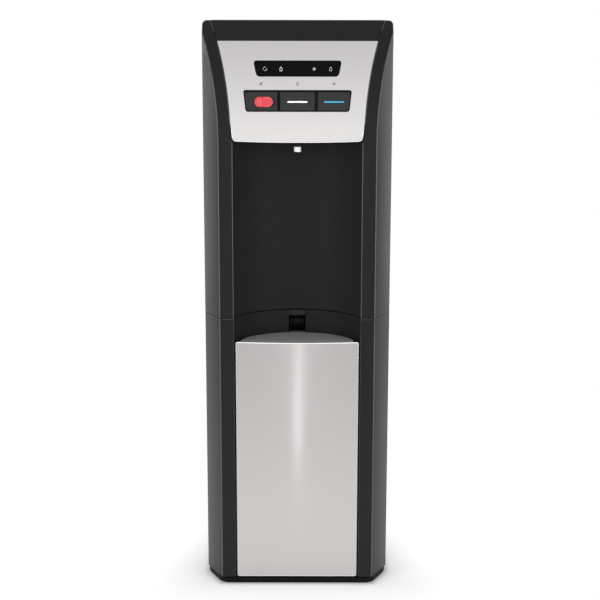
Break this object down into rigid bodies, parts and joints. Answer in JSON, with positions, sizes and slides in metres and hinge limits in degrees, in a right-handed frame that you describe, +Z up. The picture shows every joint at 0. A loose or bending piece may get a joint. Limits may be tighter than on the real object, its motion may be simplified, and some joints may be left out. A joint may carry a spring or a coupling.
{
  "type": "floor-standing bottom-load water dispenser",
  "caption": "Floor-standing water dispenser with a hot, room and cold control panel, an arched dispensing alcove over a drip tray, and a hinged door on the bottle bay.",
  "frame": {"origin": "on the floor, under the middle of the overall box", "axes": "+Z up; the front faces -Y; +X is the right-hand side seen from the front"},
  "size_m": [0.35, 0.4, 1.068],
  "materials": {
    "matte_black": "satin moulded ABS, fine grain",
    "liner_black": "smooth satin moulding",
    "inner_grey": "plain moulded plastic",
    "grille_grey": "satin moulded plastic",
    "silver_front": "fine vertical-grain silver finish",
    "painted_steel": "powder coat, satin",
    "zinc_steel": "zinc-plated steel sheet",
    "stainless": "stainless steel",
    "gloss_black": "glossy window",
    "rubber": "moulded rubber",
    "red": "moulded red",
    "blue": "moulded blue",
    "white": "moulded white",
    "hose": "translucent silicone hose",
    "foam": "expanded foam",
    "board": "circuit board, solder resist",
    "black_paint": "black enamel"
  },
  "bodies": {
    "housing": {"base_plinth": "matte_black", "foot_pad_1": "rubber", "foot_pad_2": "rubber", "foot_pad_3": "rubber", "foot_pad_4": "rubber", "bottle_platform": "inner_grey", "side_panel_right": "painted_steel", "side_panel_left": "painted_steel", "mid_shelf": "zinc_steel", "bay_rear_wall": "inner_grey", "rear_panel": "painted_steel", "compressor_guard": "painted_steel", "cord_gland": "rubber", "top_cover": "matte_black", "front_frame": "matte_black", "alcove_liner": "liner_black", "control_panel": "silver_front", "display_window": "gloss_black", "display_board": "board", "button_bezel": "matte_black", "switch_board": "board", "spout_nozzle": "white", "spout_manifold": "white", "door_magnet": "rubber", "lower_hinge": "zinc_steel", "upper_hinge": "zinc_steel", "probe_holder": "inner_grey", "water_pump": "grille_grey", "cold_tank": "stainless", "cold_tank_jacket": "foam", "hot_tank": "stainless", "hot_hose": "hose", "cold_hose": "hose", "room_hose": "hose", "compressor": "black_paint", "filter_dryer": "zinc_steel", "condenser_coil": "black_paint", "power_supply": "grille_grey", "switch_plate": "matte_black", "drain_outlet": "white"},
    "door": {"door_shell": "matte_black", "door_skin": "silver_front", "door_liner": "inner_grey", "door_cup": "liner_black", "door_striker": "zinc_steel"},
    "catch": {"door_catch": "matte_black"},
    "tray": {"drip_tray": "matte_black"},
    "drip_plate_body": {"drip_plate": "grille_grey"},
    "hot_key": {"hot_button": "matte_black"},
    "child_lock": {"child_lock_slider": "red"},
    "room_key": {"room_button": "matte_black", "room_mark": "white"},
    "cold_key": {"cold_button": "matte_black", "cold_mark": "blue"},
    "probe": {"probe_cap": "blue", "probe_tube": "stainless", "probe_hose": "hose"},
    "heat_rocker": {"heat_switch": "red"},
    "cool_rocker": {"cool_switch": "red"},
    "drain_plug": {"drain_cap": "white"}
  },
  "joints": [
    {"name": "door_hinge", "type": "hinge", "parent": "housing", "child": "door", "pos_m": [0.167, -0.1475, 0.268], "axis": [0, 0, 1], "range_deg": [0, 110]},
    {"name": "catch_push", "type": "slide", "parent": "door", "child": "catch", "axis": [0, 1, 0], "range_m": [0, 0.003], "stiffness_N_per_m": 300, "springref_m": -0.002},
    {"name": "tray_lift", "type": "slide", "parent": "door", "child": "tray", "axis": [0, 0, 1], "range_m": [0, 0.06]},
    {"name": "plate_lift", "type": "slide", "parent": "tray", "child": "drip_plate_body", "axis": [0, 0, 1], "range_m": [0, 0.03]},
    {"name": "hot_push", "type": "slide", "parent": "housing", "child": "hot_key", "axis": [0, 1, 0], "range_m": [0, 0.003], "stiffness_N_per_m": 300, "springref_m": -0.002},
    {"name": "lock_slide", "type": "slide", "parent": "hot_key", "child": "child_lock", "axis": [1, 0, 0], "range_m": [0, 0.004], "stiffness_N_per_m": 60, "springref_m": -0.002},
    {"name": "room_push", "type": "slide", "parent": "housing", "child": "room_key", "axis": [0, 1, 0], "range_m": [0, 0.003], "stiffness_N_per_m": 300, "springref_m": -0.002},
    {"name": "cold_push", "type": "slide", "parent": "housing", "child": "cold_key", "axis": [0, 1, 0], "range_m": [0, 0.003], "stiffness_N_per_m": 300, "springref_m": -0.002},
    {"name": "probe_lift", "type": "slide", "parent": "housing", "child": "probe", "axis": [0, 0, 1], "range_m": [0, 0.025]},
    {"name": "heat_rock", "type": "hinge", "parent": "housing", "child": "heat_rocker", "pos_m": [-0.107, 0.1931, 1.008], "axis": [-1, 0, 0], "range_deg": [0, 12]},
    {"name": "cool_rock", "type": "hinge", "parent": "housing", "child": "cool_rocker", "pos_m": [-0.073, 0.1931, 1.008], "axis": [-1, 0, 0], "range_deg": [0, 12]},
    {"name": "drain_pull", "type": "slide", "parent": "housing", "child": "drain_plug", "axis": [0, 1, 0], "range_m": [0, 0.02]}
  ]
}
